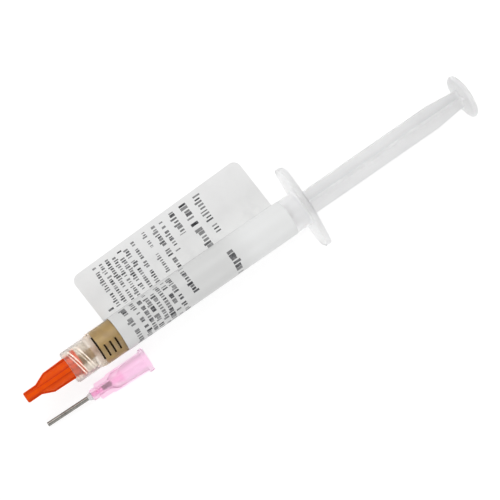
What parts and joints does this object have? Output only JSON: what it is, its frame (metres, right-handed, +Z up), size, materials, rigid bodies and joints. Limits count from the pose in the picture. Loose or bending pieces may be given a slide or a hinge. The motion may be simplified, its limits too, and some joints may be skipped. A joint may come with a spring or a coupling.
{
  "type": "solder paste syringe",
  "caption": "Luer lock syringe of solder paste with a finned tip cap, a flag label, a finger flange and a cross-ribbed plunger, lying beside its dispensing needle.",
  "frame": {"origin": "centre of the bounding box on the table", "axes": "+X along the syringe from the tip cap towards the thumb disc, +Z up from the table, +Y towards the label's flag"},
  "size_m": [0.1482, 0.035, 0.0132],
  "materials": {
    "barrel_plastic": "frosted, see-through",
    "rod_plastic": "frosted, see-through",
    "stopper": "satin",
    "paste": "smooth, moist",
    "orange_plastic": "glossy",
    "film": "satin film",
    "pink_plastic": "tinted, see-through",
    "steel": "ground",
    "glue": "clear"
  },
  "bodies": {
    "barrel": {"barrel": "barrel_plastic", "label": "film", "paste": "paste", "nozzle_paste": "paste", "needle_hub": "pink_plastic", "needle_tube": "steel", "needle_glue": "glue"},
    "stopper": {"piston": "stopper"},
    "rod": {"plunger_rod": "rod_plastic"},
    "cap": {"tip_cap": "orange_plastic"}
  },
  "joints": [
    {"name": "plunger_slide", "type": "slide", "parent": "barrel", "child": "stopper", "axis": [1, 0, 0], "range_m": [-0.044, 0.014], "deforming": ["paste"]},
    {"name": "rod_turn", "type": "hinge", "parent": "stopper", "child": "rod", "pos_m": [0.03995, -0.00392, 0.0066], "axis": [1, 0, 0], "continuous": true},
    {"name": "cap_pull", "type": "slide", "parent": "barrel", "child": "cap", "axis": [-1, 0, 0], "range_m": [0, 0.012]}
  ]
}
